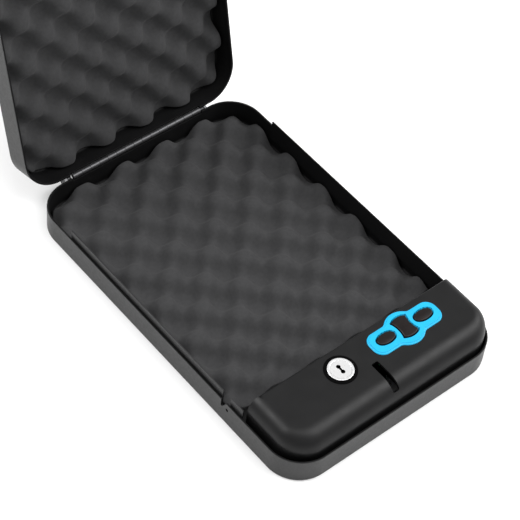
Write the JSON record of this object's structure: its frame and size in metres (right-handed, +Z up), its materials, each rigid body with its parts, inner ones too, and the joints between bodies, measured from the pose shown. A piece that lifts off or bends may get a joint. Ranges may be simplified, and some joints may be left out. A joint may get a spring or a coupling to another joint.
{
  "type": "gun safe",
  "caption": "Compact hinged steel handgun safe with egg-crate foam, front lock housing, keypad with cyan bezel and key lock, lid standing open.",
  "frame": {"origin": "centre of the base underside, which is also the centre of the four fixing holes", "axes": "+X to the right seen from the keypad end, -Y out of the front (keypad end), +Y towards the hinge, +Z up"},
  "size_m": [0.194, 0.3932, 0.3133],
  "materials": {
    "case_steel": "satin",
    "inner_steel": "satin",
    "housing_plastic": "matte",
    "foam": "matte",
    "bezel_plastic": "satin",
    "key_rubber": "satin",
    "black_plastic": "matte",
    "bright_metal": "polished",
    "hinge_steel": "satin",
    "plain_steel": "satin",
    "coil_copper": "satin",
    "circuit_board": "satin",
    "battery_case": "satin"
  },
  "bodies": {
    "base": {"base_shell": "case_steel", "guard_strip_left": "case_steel", "guard_tab_left": "case_steel", "guard_strip_right": "case_steel", "base_foam": "foam", "lock_housing": "housing_plastic", "housing_screws": "plain_steel", "keypad_bezel": "bezel_plastic", "keypad_board": "circuit_board", "board_screws": "plain_steel", "dome_switches": "plain_steel", "lock_ring": "black_plastic", "lock_barrel": "bright_metal", "lock_nut": "plain_steel", "latch_guide": "plain_steel", "guide_screws": "plain_steel", "solenoid_frame": "plain_steel", "solenoid_coil": "coil_copper", "return_spring": "plain_steel", "battery_tray": "black_plastic", "battery": "battery_case", "battery_snap": "black_plastic", "hinge_leaf_base": "hinge_steel", "hinge_pin": "hinge_steel", "hinge_rivets_base": "case_steel"},
    "lid": {"lid_shell": "case_steel", "lid_foam": "foam", "hinge_leaf_lid": "hinge_steel", "hinge_rivets_lid": "case_steel", "striker": "inner_steel"},
    "left_key": {"key_left": "key_rubber"},
    "centre_key": {"key_centre": "key_rubber"},
    "right_key": {"key_right": "key_rubber"},
    "plug": {"lock_plug": "bright_metal", "lock_cam": "plain_steel", "cam_screw": "plain_steel"},
    "latch": {"latch_bolt": "plain_steel", "solenoid_plunger": "plain_steel"},
    "door": {"battery_door": "housing_plastic"}
  },
  "joints": [
    {"name": "lid_hinge", "type": "hinge", "parent": "base", "child": "lid", "pos_m": [0, 0.1508, 0.0213], "axis": [-1, 0, 0], "range_deg": [-103.8, 0]},
    {"name": "key_left_press", "type": "slide", "parent": "base", "child": "left_key", "axis": [0, 0, -1], "range_m": [0, 0.0008], "stiffness_N_per_m": 1500, "deforming": ["dome_switches"]},
    {"name": "key_centre_press", "type": "slide", "parent": "base", "child": "centre_key", "axis": [0, 0, -1], "range_m": [0, 0.0008], "stiffness_N_per_m": 1500, "deforming": ["dome_switches"]},
    {"name": "key_right_press", "type": "slide", "parent": "base", "child": "right_key", "axis": [0, 0, -1], "range_m": [0, 0.0008], "stiffness_N_per_m": 1500, "deforming": ["dome_switches"]},
    {"name": "plug_turn", "type": "hinge", "parent": "base", "child": "plug", "pos_m": [-0.0242, -0.1096, 0.03], "axis": [0, 0, -1], "range_deg": [0, 90]},
    {"name": "latch_slide", "type": "slide", "parent": "base", "child": "latch", "axis": [-1, 0, 0], "range_m": [0, 0.009], "stiffness_N_per_m": 300, "deforming": ["return_spring"]},
    {"name": "battery_door_pull", "type": "slide", "parent": "base", "child": "door", "axis": [0, 1, 0], "range_m": [0, 0.012]}
  ],
  "couplings": [
    {"joint": "plug_turn", "follows": "latch_slide", "rad_per_m": 174.53}
  ]
}
